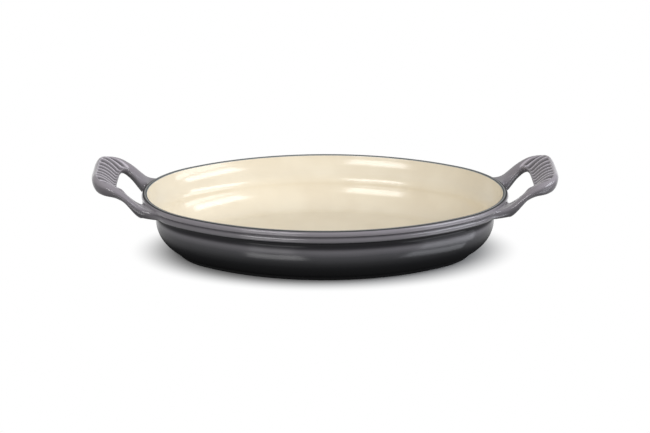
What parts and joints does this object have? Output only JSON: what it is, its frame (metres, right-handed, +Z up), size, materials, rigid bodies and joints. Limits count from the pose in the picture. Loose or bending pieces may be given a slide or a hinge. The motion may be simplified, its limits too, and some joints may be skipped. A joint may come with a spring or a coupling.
{
  "type": "oval baking dish",
  "caption": "Oval enamelled cast-iron baking dish with a stepped lip, a recessed foot ring and raised loop handles with grooved grips.",
  "frame": {"origin": "centre of the base, on the plane that the dish stands on", "axes": "+X from handle to handle along the length, +Y across the width, +Z up"},
  "size_m": [0.3528, 0.1996, 0.0669],
  "materials": {
    "enamelled_iron": "glossy enamel, grey outside fading darker towards the base, cream inside"
  },
  "bodies": {
    "root": {"dish": "enamelled_iron"}
  },
  "joints": []
}
